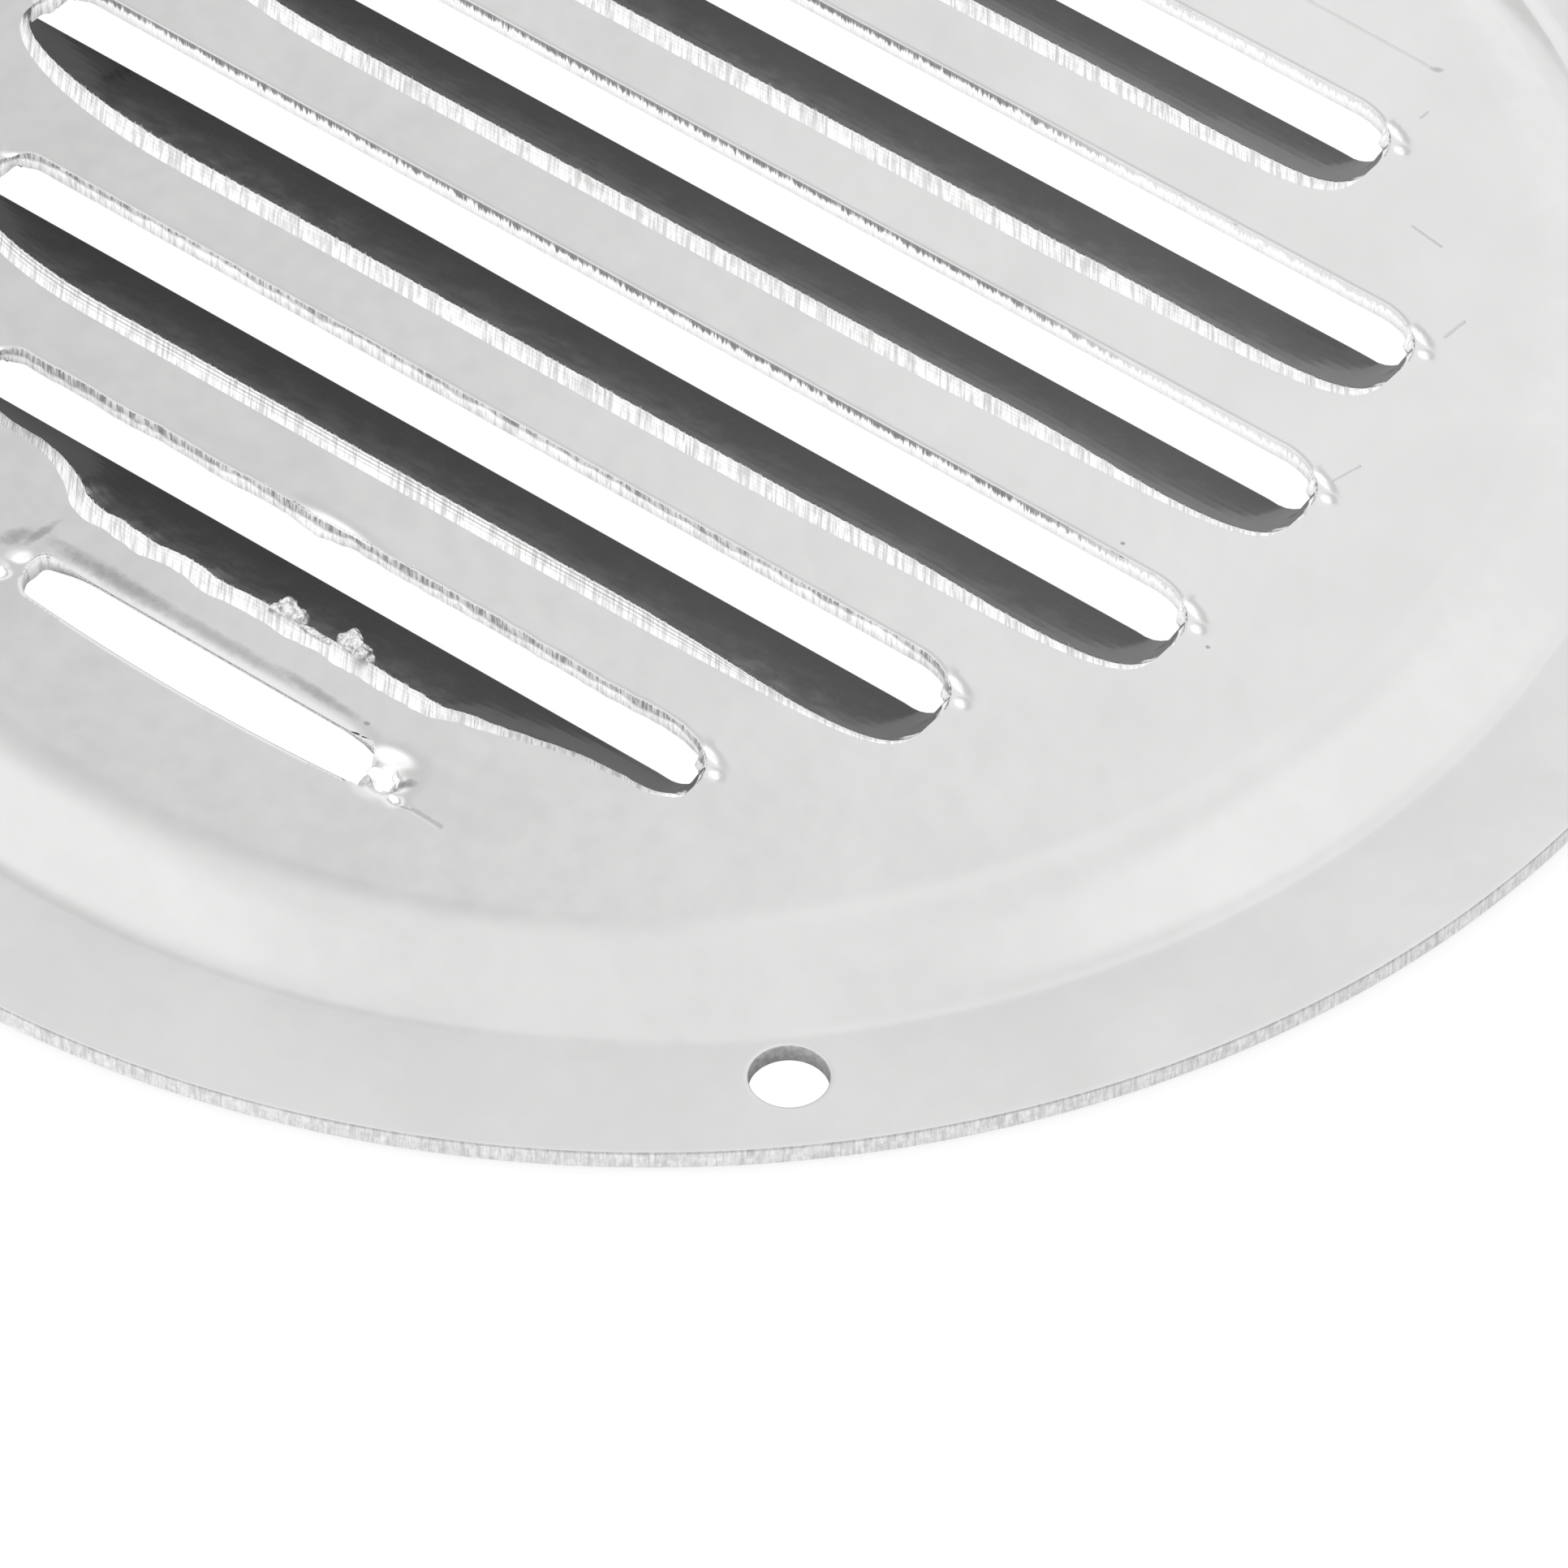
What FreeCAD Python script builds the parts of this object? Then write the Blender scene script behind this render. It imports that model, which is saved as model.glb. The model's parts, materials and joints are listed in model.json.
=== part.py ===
import FreeCAD, Part
import math
import os
import Sketcher

Vector = FreeCAD.Vector

# Round louvred vent cover, stamped from one sheet of stainless steel.
# Frame: Z is out of the face, Z = 0 is the back of the rim, X runs along the louvres,
# Y across them, and the origin is the centre of the rim.
doc = FreeCAD.newDocument("vent_cover")
sheet = doc.addObject("Spreadsheet::Sheet", "sizes")

# Driving sizes: millimetres, degrees, counts and shares.
driving = [
    ("outer_diameter", 102.0, "rim, across the sheared edge"),
    ("sheet_thick", 1.0, "thickness of the sheet"),
    ("plateau_height", 3.5, "front of the raised flat above the back of the rim"),
    ("rim_width", 6.0, "flat of the rim, outer edge to shoulder"),
    ("shoulder_width", 5.5, "shoulder, rim flat to raised flat"),
    ("shoulder_slope", 36.0, "cone of the shoulder, degrees from the flat"),
    ("foot_radius", 1.85, "front of the bend between the shoulder's cone and the rim"),
    ("hole_radius", 1.75, "screw hole"),
    ("hole_inset", 4.0, "screw hole centre in from the outer edge"),
    ("hole_angle", 45.0, "first screw hole, degrees from the louvres"),
    ("hole_count", 4, "screw holes round the rim"),
    ("louvre_pitch", 9.88, "louvre to louvre"),
    ("louvre_shift", -0.2, "louvre field off the middle, across the louvres"),
    ("louvre_width", 6.5, "bend line to sheared edge, across one louvre"),
    ("tip_drop", 2.8, "sheared edge to the louvre's tips"),
    ("right_corner", 3.2, "length of the sheared edge's rounded corner at the right tip"),
    ("left_corner", 1.6, "length of the sheared edge's rounded corner at the left tip"),
    ("near_share", 0.38, "share of a half louvre over which the bend line sweeps to the tip"),
    ("lip_depth", 2.6, "free edge of the lip below the front of the flat"),
    ("lip_setback", 1.1, "free edge of the lip short of the sheared edge"),
    ("right_fullness", 3.2, "bluntness of the bend line's right sweep, 2 for an ellipse"),
    ("left_fullness", 2.1, "bluntness of the bend line's left sweep, 2 for an ellipse"),
    ("right_run", 2.8, "length over which the lip rises to the right tip"),
    ("left_run", 1.4, "length over which the lip rises to the left tip"),
    ("bend_radius", 2.5, "front of the lip's bend"),
    ("slack_louvre", 2, "louvre whose bend line sags beside the slot"),
    ("slack_pinch", 2.2, "how far that bend line is drawn in at its ends"),
    ("slack_half", 9.5, "half length of its sag"),
    ("slack_ramp", 5.0, "length over which the sag ends"),
    ("slot_width", 2.5, "slot below the louvres, which has no lip"),
    ("slot_half", 10.3, "half length of the slot"),
    ("slot_offset", 32.15, "slot to the middle of the cover"),
]

# Tip of each louvre to the edge of the raised flat, measured along the louvre.
endGaps = {2: 9.1, 3: 8.9, 4: 6.3, 5: 6.6, 6: 6.0, 7: 8.5, 8: 9.4}
louvreSlots = 8
for number, gap in endGaps.items():
    driving.append((f"end_gap_{number}", gap, f"louvre {number}, tip to edge of flat"))

for row, (alias, value, note) in enumerate(driving, 1):
    sheet.set(f"A{row}", note)
    sheet.set(f"B{row}", str(value))
    sheet.setAlias(f"B{row}", alias)
doc.recompute()


def size(alias):
    return float(sheet.get(alias))


thick = size("sheet_thick")
height = size("plateau_height")
outerRadius = size("outer_diameter") / 2
rimInner = outerRadius - size("rim_width")
flatRadius = rimInner - size("shoulder_width")


# Dish: the sheet's section, turned round Z.
def originFeature(body, role):
    return next(item for item in body.Origin.OriginFeatures if item.Role == role)


def addDishProfile(sketch):
    turn = math.radians(size("shoulder_slope"))
    drop = size("shoulder_width") * math.sin(turn) - (height - thick) * math.cos(turn)
    foot = size("foot_radius")
    crest = drop / (1 - math.cos(turn)) - foot

    # The end of a bend on the cone, seen from the bend's centre.
    def offCentre(radius):
        return radius * math.sin(turn), radius * math.cos(turn)

    def line(x0, y0, x1, y1):
        return sketch.addGeometry(Part.LineSegment(Vector(x0, y0, 0), Vector(x1, y1, 0)), False)

    def arc(x, y, radius, start, end):
        circle = Part.Circle(Vector(x, y, 0), Vector(0, 0, 1), radius)
        return sketch.addGeometry(Part.ArcOfCircle(circle, start, end), False)

    quarter = math.pi / 2
    flatFront = line(0, height, flatRadius, height)
    crestFront = arc(flatRadius, height - crest, crest, quarter - turn, quarter)
    outCrest, upCrest = offCentre(crest)
    outFoot, upFoot = offCentre(foot)
    coneFront = line(flatRadius + outCrest, height - crest + upCrest,
                     rimInner - outFoot, thick + foot - upFoot)
    footFront = arc(rimInner, thick + foot, foot, 3 * quarter - turn, 3 * quarter)
    rimFront = line(rimInner, thick, outerRadius, thick)
    rimEdge = line(outerRadius, thick, outerRadius, 0)
    rimBack = line(outerRadius, 0, rimInner, 0)
    footBack = arc(rimInner, thick + foot, foot + thick, 3 * quarter - turn, 3 * quarter)
    outFoot, upFoot = offCentre(foot + thick)
    outCrest, upCrest = offCentre(crest - thick)
    coneBack = line(rimInner - outFoot, thick + foot - upFoot,
                    flatRadius + outCrest, height - crest + upCrest)
    crestBack = arc(flatRadius, height - crest, crest - thick, quarter - turn, quarter)
    flatBack = line(flatRadius, height - thick, 0, height - thick)
    axisLine = line(0, height - thick, 0, height)

    start, end, centre = 1, 2, 3
    origin, horizontalAxis, verticalAxis = -1, -1, -2
    constraint = Sketcher.Constraint
    sketch.addConstraint([
        constraint("Coincident", axisLine, end, flatFront, start),
        constraint("Coincident", flatBack, end, axisLine, start),
        constraint("Coincident", rimFront, end, rimEdge, start),
        constraint("Coincident", rimEdge, end, rimBack, start),
        constraint("Tangent", flatFront, end, crestFront, end),
        constraint("Tangent", crestFront, start, coneFront, start),
        constraint("Tangent", coneFront, end, footFront, start),
        constraint("Tangent", footFront, end, rimFront, start),
        constraint("Tangent", rimBack, end, footBack, end),
        constraint("Tangent", footBack, start, coneBack, start),
        constraint("Tangent", coneBack, end, crestBack, start),
        constraint("Tangent", crestBack, end, flatBack, start),
        constraint("Horizontal", flatFront),
        constraint("Horizontal", rimFront),
        constraint("Horizontal", rimBack),
        constraint("Horizontal", flatBack),
        constraint("Vertical", rimEdge),
        constraint("Vertical", axisLine),
        constraint("PointOnObject", flatFront, start, verticalAxis),
        constraint("PointOnObject", rimBack, start, horizontalAxis),
        constraint("Coincident", crestFront, centre, crestBack, centre),
        constraint("Coincident", footFront, centre, footBack, centre),
    ])
    slope = "(sizes.shoulder_slope * 1 deg)"
    rise = "(sizes.plateau_height - sizes.sheet_thick)"
    bound = [
        ("rimRadius", constraint("DistanceX", origin, start, rimBack, start, outerRadius),
         "sizes.outer_diameter / 2"),
        ("footRadius", constraint("DistanceX", origin, start, footFront, centre, rimInner),
         "sizes.outer_diameter / 2 - sizes.rim_width"),
        ("crestRadius", constraint("DistanceX", origin, start, crestFront, centre, flatRadius),
         "sizes.outer_diameter / 2 - sizes.rim_width - sizes.shoulder_width"),
        ("footBend", constraint("Radius", footFront, foot),
         "sizes.foot_radius"),
        ("crestBend", constraint("Radius", crestFront, crest),
         f"(sizes.shoulder_width * sin{slope} - {rise} * cos{slope}) / (1 - cos{slope}) - sizes.foot_radius"),
        ("flatHeight", constraint("DistanceY", origin, start, flatFront, start, height),
         "sizes.plateau_height"),
        ("flatBackHeight", constraint("DistanceY", origin, start, flatBack, start, height - thick),
         "sizes.plateau_height - sizes.sheet_thick"),
        ("rimThick", constraint("DistanceY", origin, start, rimFront, start, thick),
         "sizes.sheet_thick"),
    ]
    for name, rule, expression in bound:
        index = sketch.addConstraint(rule)
        sketch.renameConstraint(index, name)
        sketch.setExpression(f"Constraints.{name}", expression)


body = doc.addObject("PartDesign::Body", "dish")
profile = body.newObject("Sketcher::SketchObject", "dish_profile")
profile.AttachmentSupport = (originFeature(body, "XZ_Plane"), [""])
profile.MapMode = "FlatFace"
addDishProfile(profile)

turned = body.newObject("PartDesign::Revolution", "dish_turned")
turned.Profile = profile
turned.ReferenceAxis = (profile, ["V_Axis"])
turned.Angle = 360
doc.recompute()
blankVolume = turned.Shape.Volume

# Screw holes through the rim.
holeCircle = outerRadius - size("hole_inset")
holeTurn = math.radians(size("hole_angle"))
holeSketch = body.newObject("Sketcher::SketchObject", "hole_outline")
holeSketch.AttachmentSupport = (originFeature(body, "XY_Plane"), [""])
holeSketch.MapMode = "FlatFace"
holeCentre = Vector(holeCircle * math.cos(holeTurn), holeCircle * math.sin(holeTurn), 0)
holeSketch.addGeometry(Part.Circle(holeCentre, Vector(0, 0, 1), size("hole_radius")), False)
holeSketch.addConstraint([
    Sketcher.Constraint("Radius", 0, size("hole_radius")),
    Sketcher.Constraint("DistanceX", -1, 1, 0, 3, holeCentre.x),
    Sketcher.Constraint("DistanceY", -1, 1, 0, 3, holeCentre.y),
])
holeReach = "(sizes.outer_diameter / 2 - sizes.hole_inset)"
holeSketch.setExpression("Constraints[0]", "sizes.hole_radius")
holeSketch.setExpression("Constraints[1]", f"{holeReach} * cos(sizes.hole_angle * 1 deg)")
holeSketch.setExpression("Constraints[2]", f"{holeReach} * sin(sizes.hole_angle * 1 deg)")

holePocket = body.newObject("PartDesign::Pocket", "screw_hole")
holePocket.Profile = holeSketch
holePocket.Type = "ThroughAll"
holePocket.Reversed = True
doc.recompute()

holes = body.newObject("PartDesign::PolarPattern", "screw_holes")
holes.Originals = [holePocket]
holes.Axis = (originFeature(body, "Z_Axis"), [""])
holes.Angle = 360
holes.setExpression("Occurrences", "sizes.hole_count")
body.Tip = holes
doc.recompute()
if holes.Shape.Volume >= blankVolume:
    raise RuntimeError("the screw holes cut nothing")


# Louvres: each is sheared along its far edge, and the sheet on the near side is pressed in.
def smoothStep(share):
    share = min(max(share, 0.0), 1.0)
    return share * share * (3 - 2 * share)


# A size that differs between the right and left ends of a louvre.
def endSize(name, x):
    return size(f"right_{name}" if x > 0 else f"left_{name}")


class Louvre:
    def __init__(self, number):
        self.number = number
        middle = size("louvre_shift") + (number - (louvreSlots + 1) / 2) * size("louvre_pitch")
        self.far = middle + size("louvre_width") / 2
        self.near = middle - size("louvre_width") / 2
        self.tip = self.far - size("tip_drop")
        reach = flatRadius ** 2 - self.tip ** 2
        self.half = math.sqrt(max(reach, 0.0)) - size(f"end_gap_{number}")
        self.sweep = size("near_share") * self.half

    def fitsFlat(self):
        corner = self.half - min(size("right_corner"), size("left_corner"))
        outermost = max(abs(self.far), abs(self.near))
        return corner > 0 and math.hypot(corner, outermost) < flatRadius

    # Bend line: straight in the middle, with a full sweep to each tip.
    def bendAt(self, x):
        fullness = endSize("fullness", x)
        share = max(abs(x) - self.half + self.sweep, 0.0) / self.sweep
        depth = self.tip - self.near
        if self.number == size("slack_louvre"):
            ramp = (abs(x) - size("slack_half")) / size("slack_ramp")
            depth -= size("slack_pinch") * smoothStep(ramp)
        return self.tip - depth * max(1 - share ** fullness, 0.0) ** (1 / fullness)

    # Sheared edge: straight, with rounded corners down to the tips.
    def shearAt(self, x):
        corner = endSize("corner", x)
        share = max(abs(x) - self.half + corner, 0.0) / corner
        return self.tip + (self.far - self.tip) * math.sqrt(max(1 - share ** 2, 0.0))

    # How far the lip is pressed in, from 0 at a tip to 1.
    def pressAt(self, x):
        share = min(max((self.half - abs(x)) / endSize("run", x), 0.0), 1.0)
        return 1 - (1 - share) ** 2

    # Places along the louvre where its section is set out, closer near the tips.
    def stations(self):
        steps = 7
        places = set()
        for step in range(1, steps + 1):
            angle = math.pi / 2 * step / steps
            places.add(self.half - self.sweep * (1 - math.cos(angle)))
        if self.number == size("slack_louvre"):
            inner = min(places)
            for step in range(5):
                place = size("slack_half") + size("slack_ramp") * step / 4
                if place < inner:
                    places.add(place)
        return sorted(-place for place in places) + sorted(places)


rootDepth = 0.5 * thick
wallStart = 0.35 * thick


def quarterEllipse(centre, toTip, toFlat):
    curve = Part.BezierCurve()
    curve.setPoles([centre + toTip, centre + toTip + toFlat, centre + toFlat])
    curve.setWeight(2, math.sqrt(0.5))
    return curve.toShape()


# Opening cut through the flat: sheared edge, its two corners and the near wall.
def openingSolid(louvre):
    floor = height - 2 * thick
    rise = Vector(0, louvre.far - louvre.tip, 0)
    rightTip = Vector(louvre.half, louvre.tip, floor)
    leftTip = Vector(-louvre.half, louvre.tip, floor)
    rightCorner = rightTip - Vector(size("right_corner"), 0, 0)
    leftCorner = leftTip + Vector(size("left_corner"), 0, 0)
    nearPoints = [leftTip]
    for x in louvre.stations():
        wall = min(louvre.bendAt(x) + wallStart, louvre.tip)
        nearPoints.append(Vector(x, wall, floor))
    nearPoints.append(rightTip)
    edges = [Part.makeLine(a, b) for a, b in zip(nearPoints, nearPoints[1:])]
    edges.append(quarterEllipse(rightCorner, rightTip - rightCorner, rise))
    edges.append(Part.makeLine(rightCorner + rise, leftCorner + rise))
    edges.append(quarterEllipse(leftCorner, leftTip - leftCorner, rise))
    outline = Part.Wire(Part.__sortEdges__(edges))
    return Part.Face(outline).extrude(Vector(0, 0, 3 * thick))


# Section of the lip at one place along the louvre: root in the flat, bend, straight leg.
def lipSection(x, bendY, edgeY, depth, front, wall):
    run = edgeY - bendY
    # The bend is tighter where the lip is short.
    radius = min(size("bend_radius"), 0.9 * (run ** 2 + depth ** 2) / (2 * depth))
    leg = math.sqrt(max(run ** 2 + (radius - depth) ** 2 - radius ** 2, 0.0))
    turn = math.atan2(radius, leg) - math.atan2(radius - depth, run)

    def onBend(distance, angle):
        y = bendY + distance * math.sin(angle)
        return Vector(x, y, front - radius + distance * math.cos(angle))

    along = Vector(0, math.cos(turn), -math.sin(turn)) * leg
    outer = [onBend(radius, turn * share) for share in (0.15, 0.6, 1.0)]
    inner = [onBend(radius - wall, turn * share) for share in (1.0, 0.7, 0.4)]
    edgeFront = outer[2] + along
    edgeBack = inner[0] + along
    rootFront = Vector(x, bendY - rootDepth, front - 0.3 * wall)
    rootBack = Vector(x, bendY - rootDepth, front - 0.7 * wall)
    return Part.Wire([
        Part.makeLine(rootFront, outer[0]),
        Part.Arc(*outer).toShape(),
        Part.makeLine(outer[2], edgeFront),
        Part.makeLine(edgeFront, edgeBack),
        Part.makeLine(edgeBack, inner[0]),
        Part.Arc(*inner).toShape(),
        Part.makeLine(inner[2], rootBack),
        Part.makeLine(rootBack, rootFront),
    ])


# Lip: ruled through its sections, its two ends running on into the flat past the tips.
def lipSolid(louvre):
    places = louvre.stations()
    sections = []
    for x in places:
        press = louvre.pressAt(x)
        edgeY = louvre.shearAt(x) - size("lip_setback") * press
        depth = size("lip_depth") * press
        sections.append(lipSection(x, louvre.bendAt(x), edgeY, depth, height, thick))
    buried = []
    for end in (places[0], places[-1]):
        past = math.copysign(louvre.half + rootDepth, end)
        shallow = size("lip_depth") * louvre.pressAt(end) / 2
        buried.append(lipSection(past, louvre.bendAt(end), louvre.shearAt(end), shallow,
                                 height - thick / 4, thick / 3))
    return Part.makeLoft([buried[0]] + sections + [buried[1]], True, True)


# Slot with round ends, below the louvres.
def slotSolid():
    floor = height - 2 * thick
    radius = size("slot_width") / 2
    straight = size("slot_half") - radius
    middle = -size("slot_offset")
    box = Part.makeBox(2 * straight, 2 * radius, 3 * thick, Vector(-straight, middle - radius, floor))
    ends = [Part.makeCylinder(radius, 3 * thick, Vector(x, middle, floor))
            for x in (-straight, straight)]
    return box.multiFuse(ends).removeSplitter()


louvres = [louvre for louvre in map(Louvre, endGaps) if louvre.fitsFlat()]

openings = doc.addObject("Part::Feature", "openings")
openings.Shape = Part.makeCompound([openingSolid(louvre) for louvre in louvres] + [slotSolid()])

pierced = doc.addObject("Part::Cut", "pierced_dish")
pierced.Base = body
pierced.Tool = openings

lips = []
for louvre in louvres:
    lip = doc.addObject("Part::Feature", f"lip_{louvre.number}")
    lip.Shape = lipSolid(louvre)
    lips.append(lip)

cover = doc.addObject("Part::MultiFuse", "vent_cover")
cover.Shapes = [pierced] + lips
cover.Label = "vent_cover"
doc.recompute()

# Every object has to be sound before anything is written.
for item in doc.Objects:
    if "Invalid" in item.State or "Error" in item.State:
        raise RuntimeError(f"{item.Name} failed: {item.State}")

subParts = [cover]
os.makedirs("parts", exist_ok=True)
for part in subParts:
    shape = part.Shape
    if shape.isNull() or not shape.isValid() or len(shape.Solids) != 1:
        raise RuntimeError(f"{part.Label} is not one sound solid")
    shape.Solids[0].exportStep(f"parts/{part.Label}.step")
    box = shape.optimalBoundingBox(False)
    print(part.Label, f"{box.XLength:.2f} x {box.YLength:.2f} x {box.ZLength:.2f} mm",
          f"{shape.Volume:.1f} mm3")
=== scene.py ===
import bpy
import bmesh
import json
import math
from mathutils import Matrix, Vector, noise


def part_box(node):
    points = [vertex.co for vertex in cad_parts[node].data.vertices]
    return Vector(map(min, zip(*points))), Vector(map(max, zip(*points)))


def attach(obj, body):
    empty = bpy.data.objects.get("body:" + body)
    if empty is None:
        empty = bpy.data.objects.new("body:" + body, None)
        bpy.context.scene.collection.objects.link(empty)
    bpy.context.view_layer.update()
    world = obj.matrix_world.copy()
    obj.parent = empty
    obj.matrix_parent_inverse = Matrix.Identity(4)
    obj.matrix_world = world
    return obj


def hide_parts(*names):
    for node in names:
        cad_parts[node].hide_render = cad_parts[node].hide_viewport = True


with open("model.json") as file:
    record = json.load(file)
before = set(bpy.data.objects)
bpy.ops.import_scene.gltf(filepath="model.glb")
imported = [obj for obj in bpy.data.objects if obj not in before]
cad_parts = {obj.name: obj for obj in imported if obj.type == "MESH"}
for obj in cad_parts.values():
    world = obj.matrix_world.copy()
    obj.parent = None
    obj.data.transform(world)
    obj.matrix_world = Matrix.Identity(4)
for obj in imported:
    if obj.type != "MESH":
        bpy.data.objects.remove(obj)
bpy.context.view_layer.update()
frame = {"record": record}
mm = 0.001

low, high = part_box("vent_cover")
screwHoles = next(m for m in frame["record"]["mounts"] if m["name"] == "screw_holes")["dims"]

# the cover is modelled in millimetres and scaled to metres at the end
dish = {
    "outerRadius": (high.x - low.x) / 2 / mm,
    "flatHeight": (high.z - low.z) / mm - 0.001,   # just inside the CAD box
    "sheet": 1.0,
    "rimWidth": 6.0,
    "shoulderWidth": 5.5,
    "shoulderSlope": 36.0,
    "footRadius": 1.85,
    "shoulderRings": 24,
    "segments": 360,
    "holeSegments": 72,
    "holeRadius": screwHoles["hole_r_mm"],
    "holeCircle": screwHoles["pcd_mm"] / 2,
    "holeCount": screwHoles["count"],
    "holeAngle": 45.0,
    "edgeRoll": 0.09,          # rounding left on the cut edges by polishing
    "collar": 0.25,            # even strip of faces beside each cut edge
    "level": 1e-5,             # tolerance in height by which the flat's faces are found
    "weld": 2e-4,              # points closer than this become one
}
rimInner = dish["outerRadius"] - dish["rimWidth"]
flatRadius = rimInner - dish["shoulderWidth"]

louvreForm = {
    "rows": 8,
    "pitch": 9.88,
    "shift": -0.2,
    "width": 6.5,
    "tipDrop": 2.8,
    "farSweep": {1: 3.2, -1: 1.5},   # rounded corners of the sheared edge, right and left
    "nearShare": 0.38,
    "fullness": {1: 4.6, -1: 2.1},   # how blunt the right and left ends of the bend line are
    "taper": 0.025,            # the bend line closes in slowly towards the right end
    "taperStart": 14.0,
    "lipDepth": 2.5,
    "lipSetback": 1.1,
    "lipLower": {4: 0.2},      # rows whose lip ends further from the sheared edge
    "lipLowerFrom": -18.0,     # and where that begins, on the way to the right
    "lipLowerRun": 24.0,
    "lipRun": 2.8,
    "splay": 1.5,              # the torn left end of the lip spreads under the flat
    "splayRun": 4.0,
    "scoop": 0.8,              # length at the right tip over which the lip closes up to the sheared edge
    "scoopShare": 0.6,
    "scoopReach": 1.45,        # part of the lip that is lifted there
    "scoopRun": 0.55,
    "bandShare": 0.24,         # part of the lip taken by the scored band beside the bend
    "bandDrop": 0.17,
    "bandFade": 15.0,
    "bandFadeSpeed": 1.25,
    "bandKept": {2: 0.6, 3: 0.35, 4: 0.5, 5: 0.4, 6: 0.7, 7: 0.9, 8: 0.9},   # of its width, at the right end
    "bladeSteep": 1.32,        # the blade starts steeper than it ends
    "bladeRows": 7,
    # from each row's right tip to the edge of the flat, and what the left half is shorter by
    "endGaps": {2: 9.95, 3: 9.85, 4: 6.95, 5: 7.1, 6: 6.35, 7: 9.0, 8: 9.6},
    "shortLeft": {2: 0.75, 3: -0.95, 4: -0.65},
    "wider": {4: 0.28, 6: 0.33},   # rows whose bend line lies further from the sheared edge
    "slackRow": 2,             # the bent row: its bend line bulges towards the slot
    "slackPinch": 2.1,
    "slackHalf": {1: 8.0, -1: 9.6},
    "slackRamp": {1: 9.0, -1: 4.6},
    "slackWave": ((0.24, 0.5, 3.1), (0.08, 1.7, 8.4)),   # size, waves per length, place in the noise
    "shearWave": ((0.12, 0.33, 5.7), (0.06, 1.3, 1.9)),
    "waveReach": 2.0,
    "nearSpare": 0.8,          # room for the waves when the bend line's edges are picked
    "sharpTip": 0.5,           # distance from a tip within which the edge isn't rounded
    "slackStep": 0.25,
    "step": 0.5,
    "endSteps": 22,
    "crowding": {"near": 0.85, "far": 1.0},   # how the points gather at the ends
}

slot = {
    "farY": -30.75,
    "nearY": -33.1,
    "farEnds": (-9.7, 8.4),
    "nearEnds": (-9.0, 9.7),
    "bulges": (0.75, 0.35),
    "bow": 0.45,
    "roll": 1.1,               # radius of the strip's drawn-down edge
    "rollWidth": 0.7,
    "rollPast": 0.3,
    "rollMiddle": -0.6,
    "rollHalf": 9.6,
    "rollFade": 2.5,
    "step": 0.3,
    "endSteps": 8,
}

# hollows drawn in beside the louvre tips, whose depth also masks a painted highlight: along, across, half
# length, half width, lean, depth
puckers = [
    (-0.64, 2.14, 0.70, 0.16, -22, 0.11),
    (0.24, 1.30, 0.30, 0.20, -14, 0.10),
]
puckerReach = {"along": 4.0, "across": 5.0}
hollowReach = 3.0   # a hollow ends at this many half sizes

# drawn places elsewhere, dented and painted white as a painted highlight: x, y, half length, half width,
# lean, depth
flares = [
    (-0.9, -21.55, 1.7, 0.26, -2, 0.12),
    (9.75, -30.85, 0.95, 0.42, 6, 0.13),
    (-10.7, -31.5, 0.34, 0.50, -30, 0.10),
]

# dents in the same form
dents = [
    (10.22, -32.02, 0.74, 0.70, 0, 0.75),
    (11.3, -32.72, 0.36, 0.26, -20, 0.30),
    (-11.05, -32.75, 0.45, 0.40, 40, 0.40),
]
tornReach = 2.2     # in half sizes, the edges round a dent that aren't rounded

# painted shade: dark soft patches in the same form, with their strength at the end
shadeSpots = [
    (-11.0, -30.0, 1.3, 0.30, 80, 0.40),
    (-6.6, -30.05, 4.6, 0.55, -1, 0.36),
    (-0.8, -30.1, 5.0, 0.45, 0, 0.24),
    (4.7, -29.95, 2.8, 0.34, -3, 0.32),
    (7.57, -30.05, 0.2, 0.15, 0, 0.5),
    (11.05, -31.72, 0.65, 0.34, 20, 0.62),
    (2.4, -27.05, 1.1, 0.28, 0, 0.35),
    (26.9, -1.24, 0.14, 0.12, 0, 0.6),
    (33.6, -4.0, 0.14, 0.12, 0, 0.5),
    (20.15, 31.5, 0.40, 0.20, 25, 0.30),
    (-11.7, -30.7, 1.0, 0.55, 60, 0.34),
]

# lengths that the flat's edges are cut down to, and how they grow away from the fine places
fineness = {
    "tip": {1: 0.15, -1: 0.26},   # at the right and left louvre tips
    "tipPast": 0.2,
    "tipBack": 1.7,
    "tipNear": 1.3,
    "tipReach": 8.0,
    "tipGain": 0.4,
    "dent": 0.14,
    "dentReach": 2.5,
    "slot": 0.26,
    "slotAbove": 1.6,
    "slotBelow": 0.3,
    "slotHalf": 11.5,
    "slotReach": 8.0,
    "slotGain": 0.5,
    "plain": 5.0,
    "spare": 1.4,              # an edge is cut when it is this many times too long
    "brim": 0.2,               # strip inside the shoulder that is left as it is
    "sweeps": 12,
}


def smoothStep(share):
    share = min(max(share, 0.0), 1.0)
    return share * share * (3 - 2 * share)


def hollow(x, y, spot):
    along, across, length, width, lean, depth = spot
    turn = math.radians(lean)
    dx, dy = x - along, y - across
    u = (dx * math.cos(turn) + dy * math.sin(turn)) / length
    v = (dy * math.cos(turn) - dx * math.sin(turn)) / width
    reach = u * u + v * v
    return depth * math.exp(-reach) if reach < hollowReach ** 2 else 0.0


def waveAlong(x, waves):
    return sum(size * noise.noise(Vector((x * often, row, 0))) for size, often, row in waves)


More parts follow.
